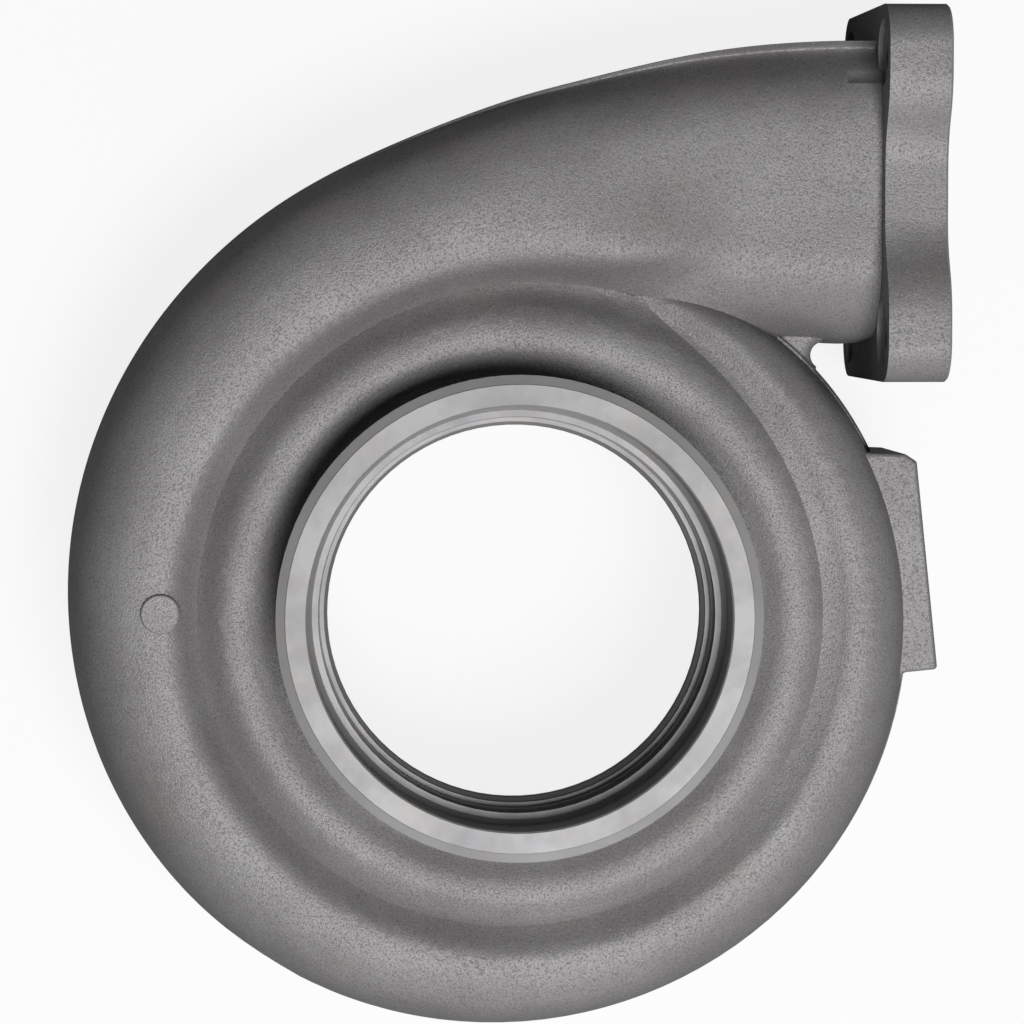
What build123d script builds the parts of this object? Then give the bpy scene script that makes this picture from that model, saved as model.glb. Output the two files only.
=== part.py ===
"""Turbine housing of a large exhaust turbocharger: one sand casting with machined faces.

Frame: Z is the shaft axis, origin at the centre of the bearing side mouth, +Z towards the outlet.
Gas enters along -X through the foot flange, runs round the scroll and leaves through the bore.
"""
from math import cos, pi, radians, sin
import os

from build123d import *

# Scroll: sizes in millimetres, angles in degrees about the shaft, counted the way the gas runs.
# Each row of the profile belongs to one angle. On the outlet side it gives the outer radius, the half
# height of the crest, and the radius and half height at the foot of the tube's inner wall.
scroll_mid_z = 70.0
scroll_angles = [90, 105, 120, 142.5, 170, 200, 228, 240, 252, 270, 300, 330, 360, 390, 417.5, 446]
scroll_profile = [
    (189.1, 53.0, 125.0, 40.5),
    (177.6, 53.0, 121.5, 41.0),
    (173.2, 52.5, 119.5, 41.0),
    (169.3, 52.0, 118.5, 41.0),
    (166.0, 51.4, 118.0, 41.0),
    (163.0, 50.8, 118.0, 41.5),
    (160.2, 50.2, 117.5, 42.0),
    (159.0, 50.0, 117.3, 42.2),
    (157.7, 49.8, 117.0, 42.5),
    (155.8, 49.5, 116.5, 43.0),
    (153.1, 49.0, 115.5, 43.6),
    (150.7, 48.5, 114.5, 44.4),
    (148.1, 48.0, 113.5, 45.0),
    (145.2, 47.0, 112.0, 45.0),
    (138.0, 43.0, 110.0, 42.5),
    (128.0, 36.0, 108.0, 38.2),
]
split_station = 7
last_passage_station = 14
taper_station = 12
skin_start_r = 78.0
floor_half = 36.0
floor_r = 96.0
shoulder_power = 2.6
back_hub_half = 42.0
back_valley_r = 111.6
back_valley_half = 43.0
back_crest_half_inlet = 49.0
back_crest_half_end = 44.0

# Inlet duct and four bolt foot flange. Each duct station gives its distance from the shaft, how far
# the inner and the outer side of its section have turned from the scroll's form to the duct's,
# and the height of its top.
duct_axis_y = 154.9
duct_height = 111.6
duct_half_width = 42.0
duct_corner_r = 33.0
duct_stations = [
    (22.0, 0.02, 0.16, 195.2),
    (48.0, 0.14, 0.46, 201.6),
    (78.0, 0.80, 0.82, 207.3),
    (106.0, 1.0, 1.0, 210.0),
    (132.0, 1.0, 1.0, 210.7),
]
foot_back_x = 134.4
foot_thickness = 23.2
foot_length = 138.0
foot_width = 122.0
foot_centre_y = 153.8
foot_waist = 11.0
foot_waist_flat = 36.0
foot_waist_slope = 18.0
foot_corner_r = 15.0
foot_blend_r = 33.0
foot_edge = 0.8
bolt_edge_y = 17.5
bolt_edge_z = 18.0
bolt_hole_r = 6.75
spot_face_r = 12.25
spot_face_depth = 2.0
spot_face_reach = 14.0

# Gas passage with its divider wall.
wall = 8.0
port_end_wall = 9.5
divider_half = 3.4
divider_tip_half = 1.7
nozzle_half = 12.0
nozzle_outer_r = 88.0
passage_start_r = 80.0
taper_r = 24.0
taper_height = 0.5

# Outlet side: clamp flange and stepped bore, heights measured from the bearing face.
outlet_face_z = 140.0
outlet_flange_r = 88.2
outlet_land_r = 85.0
outlet_land_edge = 0.3
outlet_rim_drop = 1.4
outlet_rim_height = 4.2
outlet_cone_height = 3.4
outlet_neck_r = 83.0
ridge_profile = [
    (83.0, 118.5),
    (84.6, 115.0),
    (89.0, 113.9),
    (96.0, 116.9),
    (103.0, 118.4),
    (110.0, 117.2),
    (117.0, 113.6),
    (124.0, 108.6),
]
outlet_bore_r = 76.9
outlet_bore_depth = 19.5
mouth_chamfer = 0.6
ledge_chamfer = 2.0
ledge_width = 4.2
groove_drop = 1.5
groove_chamfer = 0.6
groove_depth = 1.2
step_height = 5.1
step_chamfer = 1.2
step_width = 0.7
inner_ledge_depth = 13.0
inner_ledge_width = 1.4
inner_ledge_drop = 1.7
throat_r = 69.0
throat_top_z = 101.5
throat_bottom_z = 96.0
inducer_r = 84.0

# How far a cut runs past the face that it opens on.
cut_past = 1.0

# Bearing side: clamp flange and pilot bore.
bearing_flange_r = 105.0
bearing_flange_height = 5.0
bearing_cone_height = 4.0
bearing_neck_r = 99.0
bearing_neck_z = 24.0
bearing_taper_z = 38.0
bearing_taper = 6.0
flange_edge = 0.8
pilot_r = 94.0
pilot_depth = 9.0
recess_r = 88.5
recess_top_z = 44.0

# Cast boss and pad on the outside.
boss_r = 7.3
boss_centre_r = 129.8
boss_angle = 179.5
boss_top_z = 122.6
boss_edge_r = 0.8
boss_root = 12.0
pad_centre_z = 72.0
pad_half_height = 31.0
pad_outline = [(120.0, 58.8), (145.0, 57.8), (149.3, 55.0), (157.4, -22.2), (145.0, -23.4), (138.0, -34.0)]
pad_edge_r = 1.5

# Web that fills the gap between the end of the scroll and the underside of the duct.
web_arc = [(115.6, 99.0), (111.5, 94.1), (113.6, 90.0)]
web_root = [(112.0, 85.0), (100.0, 90.0), (98.0, 104.0), (115.6, 104.0)]
web_half_height = 20.0
web_edge_r = 4.0


def polar(r, angle, z):
    """Point in the half plane that stands at this angle about the shaft."""
    return Vector(r * cos(radians(angle)), r * sin(radians(angle)), z)


def fade(start, end, station):
    """Value that goes evenly from the inlet to the end of the scroll."""
    share = (scroll_angles[station] - scroll_angles[0]) / (scroll_angles[-1] - scroll_angles[0])
    return start + (end - start) * share


def squared_arc(half_u, half_h, angle):
    """Point on a squared off quarter ellipse, from its top (90) to its side (0)."""
    power = 2.0 / shoulder_power
    return half_u * cos(radians(angle)) ** power, half_h * sin(radians(angle)) ** power


def scroll_skin(station, front):
    """Half of a scroll section as (radius, half height), from the hub to the outer edge."""
    out_r, crest, wall_r, wall_foot = scroll_profile[station]
    if front:
        crest_r = wall_r + 0.36 * (out_r - wall_r)
        rise = crest - wall_foot
        inner = [
            (skin_start_r, floor_half),
            (floor_r, floor_half),
            (wall_r - 4.0, wall_foot),
            (wall_r, wall_foot + 0.40 * rise),
            (wall_r + 4.5, wall_foot + 0.76 * rise),
            (crest_r, crest),
        ]
    else:
        crest = fade(back_crest_half_inlet, back_crest_half_end, station)
        width = out_r - back_valley_r
        crest_r = back_valley_r + 0.45 * width
        inner = []
        for step in range(4):
            part = step / 3.0
            along = skin_start_r + part * (back_valley_r - skin_start_r)
            inner.append((along, back_hub_half + part ** 2 * (back_valley_half - back_hub_half)))
        inner.append((back_valley_r + 0.20 * width, back_valley_half + 0.62 * (crest - back_valley_half)))
        inner.append((crest_r, crest))
    shoulder = []
    for step in (62.0, 40.0, 18.0, 0.0):
        across, up = squared_arc(out_r - crest_r, crest, step)
        shoulder.append((crest_r + across, up))
    return inner + shoulder


def chord_shares(row):
    """Share of a section curve that lies before each of its points."""
    run = [0.0]
    for (a, b), (c, d) in zip(row, row[1:]):
        run.append(run[-1] + ((c - a) ** 2 + (d - b) ** 2) ** 0.5)
    return [step / run[-1] for step in run]


def shared_times(rows):
    """Curve parameters that all sections share, so that the loft stays light."""
    return [sum(column) / len(rows) for column in zip(*[chord_shares(row) for row in rows])]


def duct_half_section(side_inset, end_inset, start, stop, shares):
    """Half of a duct section as (height, half depth), from the underside round to the top."""
    low = duct_axis_y - duct_height / 2.0 + end_inset
    high = duct_axis_y + duct_height / 2.0 - end_inset
    half = duct_half_width - side_inset
    corner = duct_corner_r - side_inset
    arc = corner * pi / 2.0
    stretches = [half - corner - start, arc, high - low - 2.0 * corner, arc, half - corner - stop]
    points = []
    for share in shares:
        way = share * sum(stretches)
        stretch = 0
        while stretch < 4 and way > stretches[stretch]:
            way -= stretches[stretch]
            stretch += 1
        turn = way / corner
        points.append([
            (low, start + way),
            (low + corner * (1.0 - cos(turn)), half - corner * (1.0 - sin(turn))),
            (low + corner + way, half),
            (high - corner * (1.0 - sin(turn)), half - corner * (1.0 - cos(turn))),
            (high, half - corner - way),
        ][stretch])
    return points


def duct_skin(scroll_row):
    """Half of the duct's outer section, with its points spread as on the scroll's section."""
    return duct_half_section(0.0, 0.0, 0.6 * (duct_half_width - duct_corner_r), 0.0, chord_shares(scroll_row))


def duct_passage(scroll_row):
    """Half of the inlet port, with its points spread as on the scroll's passage."""
    shares = [1.0 - share for share in chord_shares(scroll_row)[::-1]]
    points = duct_half_section(wall, port_end_wall, 2.0 * divider_half, divider_half, shares)
    return points[::-1]


def scroll_passage(station):
    """Half of the gas passage in the scroll as (radius, half height), from the outer wall to the nozzle."""
    out_r, crest, wall_r, wall_foot = scroll_profile[station]
    taper_start = scroll_angles[taper_station]
    taper_end = scroll_angles[last_passage_station]
    past = max(0.0, scroll_angles[station] - taper_start) / (taper_end - taper_start)
    gas_r = out_r - wall - taper_r * past ** 1.5
    height = (crest - wall) * (1.0 - taper_height * past)
    width = gas_r - nozzle_outer_r
    crest_r = nozzle_outer_r + 0.70 * width
    points = [(gas_r, divider_half)]
    for step in (18.0, 40.0, 62.0):
        across, up = squared_arc(gas_r - crest_r, height, step)
        points.append((crest_r + across, up))
    points.append((crest_r, height))
    for along, up in ((0.50, 0.86), (0.30, 0.62), (0.10, 0.42)):
        points.append((nozzle_outer_r + along * width, up * height))
    points.append((nozzle_outer_r - 1.0, nozzle_half + 1.6))
    points.append((passage_start_r, nozzle_half))
    return points


def reach_top(points, top, inset):
    """Section points stretched so that the highest one lies at the duct's top line, less an inset."""
    low = min(u for u, h in points)
    high = max(u for u, h in points)
    rise = top - inset - high
    return [(u + rise * ((u - low) / (high - low)) ** 2, h) for u, h in points]


def blend(first, second, shares):
    """Points that lie between two rows of points, with a share for each point."""
    return [(a + (c - a) * s, b + (d - b) * s) for (a, b), (c, d), s in zip(first, second, shares)]


def closed_section(place, front, back, front_times, back_times):
    """Closed wire of an outer section: front curve, back curve and the straight line between their starts."""
    front_points = [place(u, scroll_mid_z + h) for u, h in front]
    back_points = [place(u, scroll_mid_z - h) for u, h in back]
    start_way = (front_points[1] - front_points[0]).normalized()
    back_way = (back_points[0] - back_points[1]).normalized()
    down = Vector(0, 0, -1)
    mirrored = [1.0 - t for t in reversed(back_times)]
    edges = [
        Edge.make_spline(front_points, [start_way, down], parameters=front_times),
        Edge.make_spline(back_points[::-1], [down, back_way], parameters=mirrored),
        Edge.make_line(back_points[0], front_points[0]),
    ]
    return Wire(edges)


def passage_section(place, points, share, side, times):
    """Closed wire of one gas passage: curved wall, nozzle mouth and the divider's face."""
    curve = [place(u, scroll_mid_z + side * h) for u, h in points]
    tip = place(points[-1][0], scroll_mid_z + side * divider_tip_half)
    up = Vector(0, 0, side)
    curve_way = (curve[-1] - curve[-2]).normalized()
    last_way = (curve_way * (1.0 - share) - up * share).normalized()
    edges = [
        Edge.make_spline(curve, [up, last_way], parameters=times),
        Edge.make_line(curve[-1], tip),
        Edge.make_line(tip, curve[0]),
    ]
    return Wire(edges)


def duct_place(x):
    """Places a duct section in its plane across the duct."""
    return lambda u, z: Vector(x, u, z)


def scroll_place(angle):
    """Places a scroll section in its half plane."""
    return lambda r, z: polar(r, angle, z)


def duct_rows(scroll_row, duct_row, end_x, inset):
    """Duct sections from the foot to the scroll, each with its place and its inner share of the duct's form."""
    top = duct_axis_y + duct_height / 2.0
    middle = (scroll_row[0][0] + scroll_row[-1][0]) / 2.0
    rows = []
    for x, inner, outer, top_y in [(end_x, 1.0, 1.0, top)] + duct_stations[::-1]:
        shares = [outer if u > middle else inner for u, h in scroll_row]
        rows.append((duct_place(x), reach_top(blend(scroll_row, duct_row, shares), top_y, inset), inner))
    return rows


def scroll_skin_pieces():
    """Outer skin of duct and scroll as two solids that meet at the split angle."""
    end_x = foot_back_x + 0.85 * foot_thickness
    inlet_front = scroll_skin(0, True)
    inlet_back = scroll_skin(0, False)
    fronts = duct_rows(inlet_front, duct_skin(inlet_front), end_x, 0.0)
    backs = duct_rows(inlet_back, duct_skin(inlet_back), end_x, 0.0)
    for station, angle in enumerate(scroll_angles):
        fronts.append((scroll_place(angle), scroll_skin(station, True), 0.0))
        backs.append((scroll_place(angle), scroll_skin(station, False), 0.0))
    front_times = shared_times([row[1] for row in fronts])
    back_times = shared_times([row[1] for row in backs])
    sections = []
    for front, back in zip(fronts, backs):
        sections.append(closed_section(front[0], front[1], back[1], front_times, back_times))
    split = len(duct_stations) + 1 + split_station
    return Solid.make_loft(sections[:split + 1]), Solid.make_loft(sections[split:])


def gas_passages():
    """The two gas passages, one each side of the divider wall, each as two solids."""
    inlet = scroll_passage(0)
    rows = duct_rows(inlet, duct_passage(inlet), foot_back_x + foot_thickness + cut_past, port_end_wall)
    for station in range(last_passage_station + 1):
        rows.append((scroll_place(scroll_angles[station]), scroll_passage(station), 0.0))
    times = shared_times([row[1] for row in rows])
    split = len(duct_stations) + 1 + split_station
    passages = []
    for side in (1.0, -1.0):
        sections = [passage_section(place, points, share, side, times) for place, points, share in rows]
        passages.append(Solid.make_loft(sections[:split + 1]))
        passages.append(Solid.make_loft(sections[split:]))
    return passages


def turned(outline):
    """Solid turned about the shaft from an outline of (radius, height) points."""
    points = [Vector(r, 0, z) for r, z in outline]
    edges = [Edge.make_line(a, b) for a, b in zip(points, points[1:] + points[:1])]
    return Solid.revolve(Face(Wire(edges)), 360, Axis.Z)


def hub():
    """Solid middle of the casting with the clamp flange of each side and the ridge round the outlet neck."""
    rim_top = outlet_face_z - outlet_rim_drop
    rim_low = rim_top - outlet_rim_height
    cone_top = bearing_flange_height + bearing_cone_height
    outline = [
        (bearing_neck_r - bearing_taper, scroll_mid_z),
        (bearing_neck_r - bearing_taper, bearing_taper_z),
        (bearing_neck_r, bearing_neck_z),
        (bearing_neck_r, cone_top),
        (bearing_flange_r, bearing_flange_height),
        (bearing_flange_r, flange_edge),
        (bearing_flange_r - flange_edge, 0.0),
        (0.0, 0.0),
        (0.0, outlet_face_z),
        (outlet_land_r - outlet_land_edge, outlet_face_z),
        (outlet_land_r, outlet_face_z - outlet_land_edge),
        (outlet_flange_r, rim_top),
        (outlet_flange_r, rim_low),
        (outlet_neck_r, rim_low - outlet_cone_height),
        (outlet_neck_r, ridge_profile[0][1]),
    ]
    points = [Vector(r, 0, z) for r, z in outline]
    edges = [Edge.make_line(a, b) for a, b in zip(points, points[1:])]
    ridge = [points[-1]] + [Vector(r, 0, z) for r, z in ridge_profile[1:]]
    foot = Vector(ridge_profile[-1][0], 0, scroll_mid_z)
    edges.append(Edge.make_spline(ridge))
    edges.append(Edge.make_line(ridge[-1], foot))
    edges.append(Edge.make_line(foot, points[0]))
    return Solid.revolve(Face(Wire(edges)), 360, Axis.Z)


def bore():
    """Everything that is turned out of the middle, from the outlet face down to the bearing side."""
    lip_top = scroll_mid_z + nozzle_half
    lip_low = scroll_mid_z - nozzle_half
    ledge_r = outlet_bore_r - ledge_width
    inner_ledge_r = throat_r + inner_ledge_width
    ledge_z = outlet_face_z - outlet_bore_depth - ledge_chamfer
    inner_ledge_z = ledge_z - inner_ledge_depth
    outline = [
        (0.0, outlet_face_z + cut_past),
        (outlet_bore_r + mouth_chamfer, outlet_face_z + cut_past),
        (outlet_bore_r + mouth_chamfer, outlet_face_z),
        (outlet_bore_r, outlet_face_z - mouth_chamfer),
        (outlet_bore_r, ledge_z + ledge_chamfer),
        (outlet_bore_r - ledge_chamfer, ledge_z),
        (ledge_r, ledge_z),
        (ledge_r, ledge_z - groove_drop),
        (ledge_r + groove_depth, ledge_z - groove_drop - groove_chamfer),
        (ledge_r + groove_depth, inner_ledge_z + step_height + step_chamfer),
        (ledge_r - step_width, inner_ledge_z + step_height),
        (ledge_r - step_width, inner_ledge_z),
        (inner_ledge_r, inner_ledge_z),
        (inner_ledge_r, inner_ledge_z - inner_ledge_drop),
        (throat_r, throat_top_z),
        (throat_r, throat_bottom_z),
    ]
    for step in (20.0, 40.0, 60.0, 75.0, 90.0):
        turn = radians(step)
        outline.append((
            inducer_r - (inducer_r - throat_r) * cos(turn),
            throat_bottom_z - (throat_bottom_z - lip_top) * sin(turn),
        ))
    outline += [
        (nozzle_outer_r, lip_top),
        (nozzle_outer_r, lip_low),
        (inducer_r, lip_low),
        (inducer_r, recess_top_z),
        (recess_r, recess_top_z),
        (recess_r, pilot_depth),
        (pilot_r, pilot_depth),
        (pilot_r, -cut_past),
        (0.0, -cut_past),
    ]
    return turned(outline)


def foot_flange():
    """Four bolt flange: corner lobes round the bolts and a waist along each long side."""
    half_y = foot_length / 2.0
    half_z = foot_width / 2.0
    near = foot_waist_flat / 2.0
    far = near + foot_waist_slope
    side = [(-half_y, half_z), (-far, half_z), (-near, half_z - foot_waist), (near, half_z - foot_waist)]
    side += [(far, half_z), (half_y, half_z)]
    points = side + [(-y, -z) for y, z in side]
    plane = Plane(origin=(foot_back_x, foot_centre_y, scroll_mid_z), x_dir=(0, 1, 0), z_dir=(1, 0, 0))
    face = make_face(Polyline(*points, close=True))
    face = fillet([v for v in face.vertices() if abs(v.X) > half_y - 1.0], foot_corner_r)
    bends = [v for v in face.vertices() if abs(v.X) < near + 0.01]
    bends += [v for v in face.vertices() if abs(abs(v.X) - far) < 0.01]
    face = fillet(bends, foot_blend_r)
    plate = extrude(face, foot_thickness)
    plate = chamfer(plate.faces().sort_by(Axis.Z)[-1].edges(), foot_edge)
    return plane * plate


def bolt_places():
    """Centres of the four foot bolts as (height, depth)."""
    places = []
    for along in (bolt_edge_y - foot_length / 2.0, foot_length / 2.0 - bolt_edge_y):
        for across in (bolt_edge_z - foot_width / 2.0, foot_width / 2.0 - bolt_edge_z):
            places.append((foot_centre_y + along, scroll_mid_z + across))
    return places


def bolt_cuts():
    """Bolt holes through the foot, each with its spot face on the duct side."""
    cuts = []
    seat_x = foot_back_x + spot_face_depth
    for y, z in bolt_places():
        hole = Plane(origin=(foot_back_x, y, z), z_dir=(1, 0, 0)) * Circle(bolt_hole_r)
        cuts.append(extrude(hole, foot_thickness))
        seat = Plane(origin=(seat_x, y, z), z_dir=(-1, 0, 0)) * Circle(spot_face_r)
        cuts.append(extrude(seat, spot_face_reach))
    return cuts


def cast_boss():
    """Low round boss on the outlet side of the scroll."""
    x = boss_centre_r * cos(radians(boss_angle))
    y = boss_centre_r * sin(radians(boss_angle))
    root_z = boss_top_z - boss_root
    face = Plane(origin=(x, y, root_z)) * Circle(boss_r)
    boss = extrude(face, boss_top_z - root_z)
    rim = boss.edges().filter_by(GeomType.CIRCLE).sort_by(Axis.Z)[-1]
    return fillet(rim, boss_edge_r)


def pad():
    """Identification pad on the outer side of the scroll, left plain."""
    face = Plane(origin=(0, 0, pad_centre_z - pad_half_height)) * make_face(Polyline(*pad_outline, close=True))
    block = extrude(face, 2.0 * pad_half_height)
    return fillet(block.edges(), pad_edge_r)


def duct_web():
    """Web in the corner between the duct's underside and the end of the scroll, hollowed towards the foot."""
    plane = Plane(origin=(0, 0, scroll_mid_z - web_half_height))
    hollow = ThreePointArc(*web_arc)
    back = Polyline(web_arc[-1], *web_root, web_arc[0])
    block = extrude(plane * make_face(Curve() + [hollow, back]), 2.0 * web_half_height)
    rims = block.faces().filter_by(GeomType.CYLINDER)[0].edges().filter_by(GeomType.CIRCLE)
    return fillet(rims, web_edge_r)


def housing():
    """The whole casting."""
    skin_start, skin_end = scroll_skin_pieces()
    body = skin_start + skin_end + hub() + duct_web() + foot_flange() + cast_boss() + pad()
    for tool in gas_passages() + bolt_cuts() + [bore()]:
        body = body - tool
    return body


body = housing()
os.makedirs("parts", exist_ok=True)
export_step(body, "parts/turbine_housing.step")
print("turbine_housing", round(body.volume), "mm3", body.bounding_box())
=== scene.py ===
import math

import bpy
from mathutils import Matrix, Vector


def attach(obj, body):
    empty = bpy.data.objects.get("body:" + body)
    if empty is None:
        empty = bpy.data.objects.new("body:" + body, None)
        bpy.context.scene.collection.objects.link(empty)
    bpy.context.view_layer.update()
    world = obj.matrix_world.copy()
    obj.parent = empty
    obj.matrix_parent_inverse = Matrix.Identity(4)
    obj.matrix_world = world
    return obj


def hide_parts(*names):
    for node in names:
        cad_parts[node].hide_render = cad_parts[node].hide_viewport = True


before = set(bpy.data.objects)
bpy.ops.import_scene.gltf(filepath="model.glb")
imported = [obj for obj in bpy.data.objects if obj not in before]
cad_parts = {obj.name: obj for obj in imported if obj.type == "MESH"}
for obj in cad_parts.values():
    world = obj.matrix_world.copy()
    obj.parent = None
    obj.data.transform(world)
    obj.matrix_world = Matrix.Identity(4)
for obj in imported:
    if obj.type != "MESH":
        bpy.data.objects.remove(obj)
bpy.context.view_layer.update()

# Places in the part, in metres, that tell machined faces from the cast skin.
CLAMP_RING_LOW = 0.1310
BORE_REACH = 0.0895
BORE_LOW = 0.0955
BEARING_FLANGE_REACH = 0.1055
BEARING_FLANGE_TOP = 0.0092
NOZZLE_LOW = 0.0575
NOZZLE_HIGH = 0.0825
NOZZLE_WALL_REACH = 0.0842
OUTLET_STEPS_REACH = 0.0835
BEARING_STEPS_REACH = 0.0905
FOOT_FACE_X = 0.1568
FOOT_LOW_Y = 0.08
FOOT_BACK_LOW_X = 0.1339
SPOT_FACE_HIGH_X = 0.1368
BOLT_PLACES = [(y, z) for y in (0.1023, 0.2053) for z in (0.027, 0.113)]
SPOT_REACH = 0.0125
HOLE_REACH = 0.0070
# Least outward lean of a face, in metres along its radius, that makes it an outer skin.
OUTWARD_LEAN = 0.01

# Turns above these angles stay crisp on cut faces and on the cast skin.
CRISP_ANGLE = math.radians(9)
CAST_CORNER_ANGLE = math.radians(28)

# Hollow added to the valley: angle about the shaft in degrees, radius and depth in metres.
VALLEY_STATIONS = [
    (30, 0.1175, 0.0012),
    (60, 0.1200, 0.0045),
    (80, 0.1190, 0.0042),
    (107, 0.1175, 0.0030),
    (205, 0.1165, 0.0028),
    (250, 0.1165, 0.0020),
    (300, 0.1165, 0.0018),
    (345, 0.1170, 0.0010),
    (390, 0.1175, 0.0012),
]
VALLEY_REACH = 0.0095
VALLEY_LOW = 0.104

# Vertices nearer than this, in metres, are one point of the casting.
MERGE_DISTANCE = 0.000001

# What the camera sees of the floor, and what the floor sends back to the housing.
FLOOR_GLOW = 0.86
FLOOR_SEEN = (0.80, 0.80, 0.80, 1)
FLOOR_REFLECTED = (0.24, 0.24, 0.24, 1)
FLOOR_SIZE = 8.0
FLOOR_DROP = 0.0005
WORLD_STRENGTH = 0.055
LIGHT_AIM = (0, 0, 0.07)


def new_material(name):
    material = bpy.data.materials.new(name)
    material.use_nodes = True
    material.node_tree.nodes.clear()
    return material


def add_node(tree, kind, **settings):
    node = tree.nodes.new(kind)
    for key, value in settings.items():
        if key in node.inputs:
            node.inputs[key].default_value = value
        else:
            setattr(node, key, value)
    return node


def link(tree, source, target):
    tree.links.new(source, target)


def new_group(name, inputs, outputs):
    """Node group with named sockets; inputs are (name, kind, value) and outputs are (name, kind)."""
    group = bpy.data.node_groups.new(name, "ShaderNodeTree")
    for label, kind, value in inputs:
        socket = group.interface.new_socket(label, in_out="INPUT", socket_type=kind)
        if value is not None:
            socket.default_value = value
    for label, kind in outputs:
        group.interface.new_socket(label, in_out="OUTPUT", socket_type=kind)
    source = group.nodes.new("NodeGroupInput")
    target = group.nodes.new("NodeGroupOutput")
    return group, source, target


def noise(tree, vector, scale, detail=2.0, roughness=0.5):
    node = add_node(tree, "ShaderNodeTexNoise", Scale=scale, Detail=detail, Roughness=roughness)
    link(tree, vector, node.inputs["Vector"])
    return node.outputs["Fac"]


def remap(tree, value, low, high, to_low=0.0, to_high=1.0):
    node = add_node(tree, "ShaderNodeMapRange")
    node.inputs["From Min"].default_value = low
    node.inputs["From Max"].default_value = high
    node.inputs["To Min"].default_value = to_low
    node.inputs["To Max"].default_value = to_high
    link(tree, value, node.inputs["Value"])
    return node.outputs["Result"]


def calculate(tree, operation, first, second=None):
    node = tree.nodes.new("ShaderNodeMath")
    node.operation = operation
    for socket, value in zip(node.inputs, (first, second)):
        if value is None:
            continue
        if isinstance(value, (int, float)):
            socket.default_value = value
        else:
            link(tree, value, socket)
    return node.outputs[0]


def mix_colour(tree, share, first, second):
    node = tree.nodes.new("ShaderNodeMix")
    node.data_type = "RGBA"
    for socket, value in zip((node.inputs[0], node.inputs[6], node.inputs[7]), (share, first, second)):
        if isinstance(value, (int, float, tuple)):
            socket.default_value = value
        else:
            link(tree, value, socket)
    return node.outputs[2]


def sand_grain_group():
    """Fine grain and soft unevenness that a sand mould leaves on a casting."""
    group, source, target = new_group(
        "Sand Mould Skin",
        [
            ("Vector", "NodeSocketVector", None),
            ("Grain Scale", "NodeSocketFloat", 1150.0),
            ("Unevenness", "NodeSocketFloat", 0.8),
        ],
        [
            ("Height", "NodeSocketFloat"),
            ("Pits", "NodeSocketFloat"),
            ("Specks", "NodeSocketFloat"),
            ("Blotches", "NodeSocketFloat"),
        ],
    )
    place = source.outputs["Vector"]
    grains = add_node(group, "ShaderNodeTexNoise", Detail=2.0, Roughness=0.65)
    link(group, place, grains.inputs["Vector"])
    link(group, source.outputs["Grain Scale"], grains.inputs["Scale"])
    fine = add_node(group, "ShaderNodeTexNoise", Detail=1.0, Roughness=0.5)
    link(group, place, fine.inputs["Vector"])
    fine_scale = calculate(group, "MULTIPLY", source.outputs["Grain Scale"], 2.1)
    link(group, fine_scale, fine.inputs["Scale"])
    uneven = noise(group, place, 90.0, 3.0)
    blotches = noise(group, place, 26.0, 4.0, 0.6)
    fine_share = calculate(group, "MULTIPLY", fine.outputs["Fac"], 0.45)
    grit = calculate(group, "ADD", grains.outputs["Fac"], fine_share)
    lifted = calculate(group, "MULTIPLY", uneven, source.outputs["Unevenness"])
    link(group, calculate(group, "ADD", grit, lifted), target.inputs["Height"])
    link(group, remap(group, grains.outputs["Fac"], 0.50, 0.34), target.inputs["Pits"])
    link(group, remap(group, fine.outputs["Fac"], 0.58, 0.74), target.inputs["Specks"])
    link(group, remap(group, blotches, 0.35, 0.68), target.inputs["Blotches"])
    return group


def cast_skin_material(grain):
    """Grey sand cast iron with a sandy grain, dark pits, bright specks and faint warm patches."""
    material = new_material("cast_skin")
    tree = material.node_tree
    place = tree.nodes.new("ShaderNodeTexCoord").outputs["Object"]
    skin = tree.nodes.new("ShaderNodeGroup")
    skin.node_tree = grain
    link(tree, place, skin.inputs["Vector"])
    base = mix_colour(tree, skin.outputs["Blotches"], (0.192, 0.184, 0.190, 1), (0.238, 0.230, 0.236, 1))
    warm = remap(tree, noise(tree, place, 38.0, 3.0), 0.56, 0.78, 0.0, 0.40)
    base = mix_colour(tree, warm, base, (0.235, 0.205, 0.175, 1))
    pits = calculate(tree, "MULTIPLY", skin.outputs["Pits"], 0.50)
    base = mix_colour(tree, pits, base, (0.090, 0.086, 0.090, 1))
    specks = calculate(tree, "MULTIPLY", skin.outputs["Specks"], 0.55)
    base = mix_colour(tree, specks, base, (0.46, 0.45, 0.46, 1))
    bump = add_node(tree, "ShaderNodeBump", Strength=0.55, Distance=0.00035)
    link(tree, skin.outputs["Height"], bump.inputs["Height"])
    shader = add_node(tree, "ShaderNodeBsdfPrincipled", Metallic=0.20)
    link(tree, base, shader.inputs["Base Color"])
    link(tree, remap(tree, skin.outputs["Pits"], 0.0, 1.0, 0.50, 0.70), shader.inputs["Roughness"])
    link(tree, bump.outputs["Normal"], shader.inputs["Normal"])
    surface = tree.nodes.new("ShaderNodeOutputMaterial")
    link(tree, shader.outputs["BSDF"], surface.inputs["Surface"])
    return material


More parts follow.
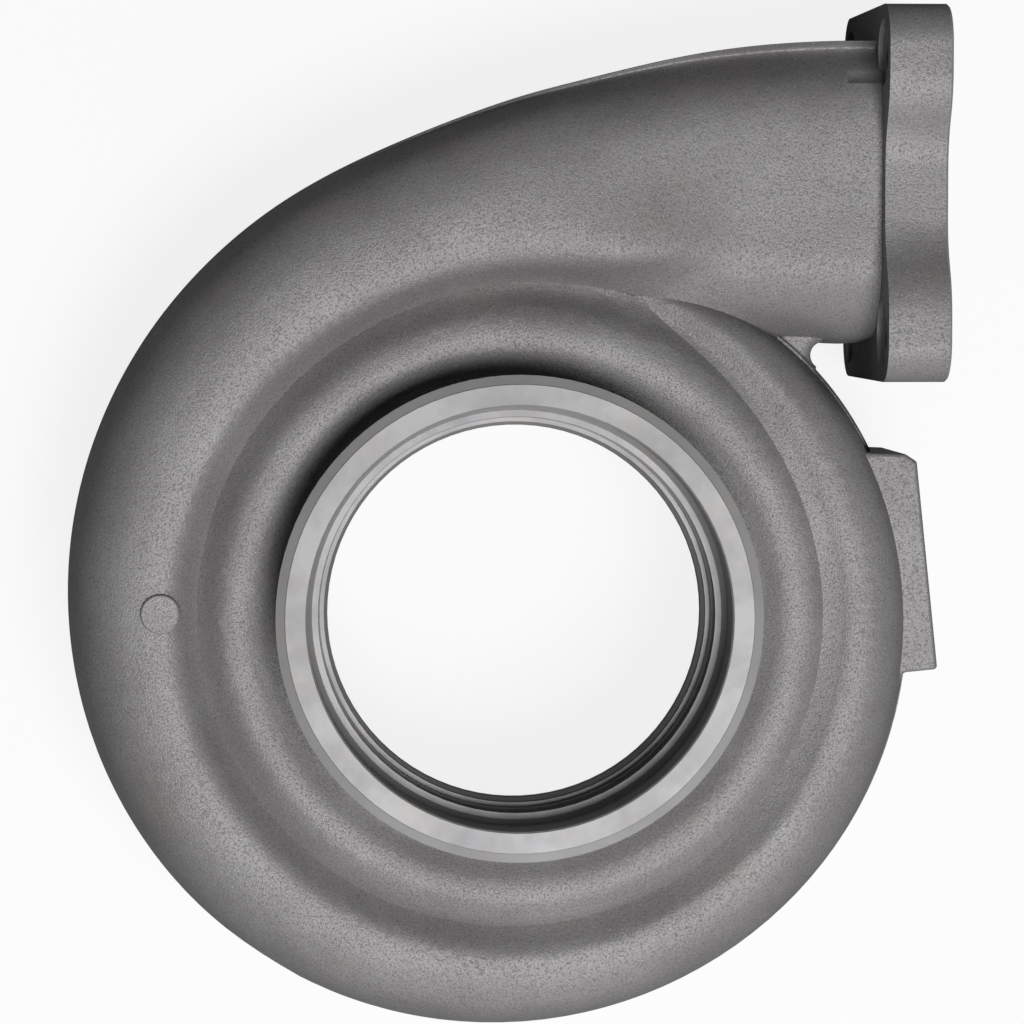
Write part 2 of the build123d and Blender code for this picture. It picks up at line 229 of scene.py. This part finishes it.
def tool_marks_group():
    """Fine grooves that a cutting tool leaves, from the distance along which it steps."""
    group, source, target = new_group(
        "Tool Marks",
        [
            ("Vector", "NodeSocketVector", None),
            ("Travel", "NodeSocketFloat", 0.0),
            ("Groove Scale", "NodeSocketFloat", 2400.0),
        ],
        [("Height", "NodeSocketFloat"), ("Dull", "NodeSocketFloat")],
    )
    turns = calculate(group, "MULTIPLY", source.outputs["Travel"], source.outputs["Groove Scale"])
    row = along_x(group, turns)
    lines = noise(group, row, 1.0, 4.0, 0.7)
    dull = noise(group, source.outputs["Vector"], 45.0, 4.0, 0.6)
    link(group, lines, target.inputs["Height"])
    link(group, remap(group, dull, 0.38, 0.70), target.inputs["Dull"])
    return group


def along_x(tree, value):
    """Vector with the value as its X part."""
    node = tree.nodes.new("ShaderNodeCombineXYZ")
    link(tree, value, node.inputs["X"])
    return node.outputs["Vector"]


def shaft_distance(tree, place):
    """Distance of a point from the shaft axis, and its height along the shaft."""
    parts = tree.nodes.new("ShaderNodeSeparateXYZ")
    link(tree, place, parts.inputs["Vector"])
    x_square = calculate(tree, "MULTIPLY", parts.outputs["X"], parts.outputs["X"])
    y_square = calculate(tree, "MULTIPLY", parts.outputs["Y"], parts.outputs["Y"])
    return calculate(tree, "SQRT", calculate(tree, "ADD", x_square, y_square)), parts.outputs["Z"]


def machined_material(name, marks, travel_of, bright, dark, tint):
    """Bare iron cut by a tool: light, finely grooved, a little uneven in tone and faintly heat tinted."""
    material = new_material(name)
    tree = material.node_tree
    place = tree.nodes.new("ShaderNodeTexCoord").outputs["Object"]
    cut = tree.nodes.new("ShaderNodeGroup")
    cut.node_tree = marks
    link(tree, place, cut.inputs["Vector"])
    link(tree, travel_of(tree, place), cut.inputs["Travel"])
    colour = mix_colour(tree, cut.outputs["Dull"], bright, dark)
    groove = remap(tree, cut.outputs["Height"], 0.35, 0.65, 0.0, 0.40)
    colour = mix_colour(tree, groove, colour, dark)
    warm = remap(tree, noise(tree, place, 55.0, 2.0), 0.52, 0.72, 0.0, 0.45)
    colour = mix_colour(tree, warm, colour, tint)
    bump = add_node(tree, "ShaderNodeBump", Strength=0.15, Distance=0.0001)
    link(tree, cut.outputs["Height"], bump.inputs["Height"])
    shader = add_node(tree, "ShaderNodeBsdfPrincipled", Metallic=0.35)
    link(tree, colour, shader.inputs["Base Color"])
    link(tree, remap(tree, cut.outputs["Dull"], 0.0, 1.0, 0.52, 0.58), shader.inputs["Roughness"])
    link(tree, bump.outputs["Normal"], shader.inputs["Normal"])
    surface = tree.nodes.new("ShaderNodeOutputMaterial")
    link(tree, shader.outputs["BSDF"], surface.inputs["Surface"])
    return material


def turned_travel(tree, place):
    """Path of a lathe tool: outwards on a face and along the shaft in a bore."""
    radius, height = shaft_distance(tree, place)
    return calculate(tree, "ADD", radius, height)


def milled_travel(tree, place):
    """Path of a wide cutter that crosses the foot in arcs."""
    centred = add_node(tree, "ShaderNodeMapping")
    centred.inputs["Location"].default_value = (0.0, 0.30, -0.07)
    link(tree, place, centred.inputs["Vector"])
    parts = tree.nodes.new("ShaderNodeSeparateXYZ")
    link(tree, centred.outputs["Vector"], parts.inputs["Vector"])
    y_square = calculate(tree, "MULTIPLY", parts.outputs["Y"], parts.outputs["Y"])
    z_square = calculate(tree, "MULTIPLY", parts.outputs["Z"], parts.outputs["Z"])
    return calculate(tree, "SQRT", calculate(tree, "ADD", y_square, z_square))


def face_kind(centre, normal):
    """Finish of a face by its place: 0 cast skin, 1 turned, 2 milled or drilled."""
    radius = math.hypot(centre.x, centre.y)
    if centre.x > FOOT_FACE_X and centre.y > FOOT_LOW_Y:
        return 2
    if centre.x > FOOT_BACK_LOW_X:
        for y, z in BOLT_PLACES:
            reach = math.hypot(centre.y - y, centre.z - z)
            if reach < HOLE_REACH:
                return 2
            if reach < SPOT_REACH and centre.x < SPOT_FACE_HIGH_X:
                return 2
    if radius < BORE_REACH and centre.z > CLAMP_RING_LOW:
        return 1
    outward_lean = normal.dot(Vector((centre.x, centre.y, 0)))
    if radius < OUTLET_STEPS_REACH and centre.z > BORE_LOW and outward_lean < OUTWARD_LEAN:
        return 1
    if radius < NOZZLE_WALL_REACH and NOZZLE_HIGH <= centre.z <= BORE_LOW:
        return 1
    if radius < BEARING_FLANGE_REACH and centre.z < BEARING_FLANGE_TOP:
        return 1
    if radius < BEARING_STEPS_REACH and centre.z < NOZZLE_LOW:
        return 1
    return 0


def valley_at(angle):
    """Radius and depth of the valley's added hollow at an angle in degrees, between the stations."""
    for (start, r_start, d_start), (end, r_end, d_end) in zip(VALLEY_STATIONS, VALLEY_STATIONS[1:]):
        if start <= angle <= end:
            share = (angle - start) / (end - start)
            return r_start + share * (r_end - r_start), d_start + share * (d_end - d_start)


def deepen_valley(mesh):
    """Presses the valley between hub and scroll tube deeper than in the solid, on the outlet side."""
    for vertex in mesh.vertices:
        if vertex.co.z < VALLEY_LOW:
            continue
        angle = math.degrees(math.atan2(vertex.co.y, vertex.co.x))
        valley_r, depth = valley_at(angle if angle > VALLEY_STATIONS[0][0] else angle + 360)
        away = abs(math.hypot(vertex.co.x, vertex.co.y) - valley_r) / VALLEY_REACH
        if away < 1:
            vertex.co.z -= depth * (0.5 + 0.5 * math.cos(math.pi * away))


def keeps_its_edge(first, second):
    """Whether the edge between two faces stays crisp: cut edges do, and the corners of the casting."""
    turn = first.normal.angle(second.normal)
    if first.material_index != second.material_index:
        return True
    return turn > (CRISP_ANGLE if first.material_index > 0 else CAST_CORNER_ANGLE)


def mark_crisp_edges(mesh):
    """Marks the edges that stay crisp in the shading."""
    faces_of = {}
    for face in mesh.polygons:
        for key in face.edge_keys:
            faces_of.setdefault(key, []).append(face)
    for edge in mesh.edges:
        around = faces_of[tuple(sorted(edge.vertices))]
        edge.use_edge_sharp = len(around) == 2 and keeps_its_edge(around[0], around[1])


def dress_housing(housing, materials):
    """The housing as one skin with its finishes, in place of the CAD node."""
    bpy.ops.object.select_all(action="DESELECT")
    mesh = housing.data.copy()
    piece = bpy.data.objects.new("housing_casting", mesh)
    bpy.context.scene.collection.objects.link(piece)
    bpy.context.view_layer.objects.active = piece
    piece.select_set(True)
    bpy.ops.object.mode_set(mode="EDIT")
    bpy.ops.mesh.select_all(action="SELECT")
    bpy.ops.mesh.remove_doubles(threshold=MERGE_DISTANCE)
    bpy.ops.mesh.select_mode(type="FACE")
    bpy.ops.mesh.select_all(action="DESELECT")
    bpy.ops.object.mode_set(mode="OBJECT")
    deepen_valley(mesh)
    mesh.materials.clear()
    for material in materials:
        mesh.materials.append(material)
    for face in mesh.polygons:
        face.material_index = face_kind(face.center, face.normal)
    bpy.ops.object.shade_smooth()
    mark_crisp_edges(mesh)
    evener = piece.modifiers.new("even_normals", "WEIGHTED_NORMAL")
    evener.mode = "FACE_AREA"
    evener.keep_sharp = True
    bpy.ops.object.modifier_apply(modifier="even_normals")
    piece.select_set(False)
    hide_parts("turbine_housing")
    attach(piece, "root")


grain = sand_grain_group()
marks = tool_marks_group()
cast_skin = cast_skin_material(grain)
turned_iron = machined_material(
    "turned_iron",
    marks,
    turned_travel,
    bright=(0.315, 0.308, 0.315, 1),
    dark=(0.255, 0.248, 0.255, 1),
    tint=(0.30, 0.29, 0.25, 1),
)
milled_iron = machined_material(
    "milled_iron",
    marks,
    milled_travel,
    bright=(0.36, 0.352, 0.36, 1),
    dark=(0.30, 0.292, 0.30, 1),
    tint=(0.34, 0.32, 0.30, 1),
)
dress_housing(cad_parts["turbine_housing"], [cast_skin, turned_iron, milled_iron])


def floor_material():
    """Pale floor that the camera sees as near white, with the shadow that the object casts."""
    material = new_material("studio_floor")
    tree = material.node_tree
    shader = tree.nodes.new("ShaderNodeBsdfDiffuse")
    glow = add_node(tree, "ShaderNodeEmission", Color=(1, 1, 1, 1), Strength=1.0)
    rays = tree.nodes.new("ShaderNodeLightPath")
    seen = rays.outputs["Is Camera Ray"]
    link(tree, mix_colour(tree, seen, FLOOR_REFLECTED, FLOOR_SEEN), shader.inputs["Color"])
    share = calculate(tree, "MULTIPLY", seen, FLOOR_GLOW)
    mixed = tree.nodes.new("ShaderNodeMixShader")
    link(tree, share, mixed.inputs["Fac"])
    link(tree, shader.outputs["BSDF"], mixed.inputs[1])
    link(tree, glow.outputs["Emission"], mixed.inputs[2])
    surface = tree.nodes.new("ShaderNodeOutputMaterial")
    link(tree, mixed.outputs["Shader"], surface.inputs["Surface"])
    return material


bpy.ops.mesh.primitive_plane_add(size=FLOOR_SIZE, location=(0, 0, -FLOOR_DROP))
floor = bpy.context.object
floor.name = "studio_floor"
floor.data.materials.append(floor_material())


def add_area_light(name, place, aim, size, power):
    light = bpy.data.lights.new(name, "AREA")
    light.shape = "RECTANGLE"
    light.size, light.size_y = size
    light.energy = power
    lamp = bpy.data.objects.new(name, light)
    lamp.location = place
    lamp.rotation_euler = (Vector(aim) - Vector(place)).to_track_quat("-Z", "Y").to_euler()
    bpy.context.scene.collection.objects.link(lamp)


add_area_light("front_light", (0.32, -0.60, 2.50), LIGHT_AIM, size=(0.9, 0.9), power=60.0)
add_area_light("low_light", (0.10, -1.9, 0.9), LIGHT_AIM, size=(1.2, 0.6), power=8.0)

world = bpy.data.worlds.new("studio_world")
world.use_nodes = True
world.node_tree.nodes["Background"].inputs["Color"].default_value = (1, 1, 1, 1)
world.node_tree.nodes["Background"].inputs["Strength"].default_value = WORLD_STRENGTH
bpy.context.scene.world = world

# The lens sees a picture 1024 pixels across from a distance of 4227 pixels, as in the photograph.
PICTURE_SIZE = 1024
VIEW_DISTANCE_PIXELS = 4226.8
camera_data = bpy.data.cameras.new("camera")
camera_data.sensor_width = 36.0
camera_data.lens = camera_data.sensor_width * VIEW_DISTANCE_PIXELS / PICTURE_SIZE
camera_data.clip_end = 20.0
camera = bpy.data.objects.new("camera", camera_data)
camera.location = (-0.09244, 0.12521, 1.65429)
camera.rotation_euler = (-0.0568, -0.0589, 0.0)
bpy.context.scene.collection.objects.link(camera)
bpy.context.scene.camera = camera

bpy.context.scene.view_settings.view_transform = "Standard"
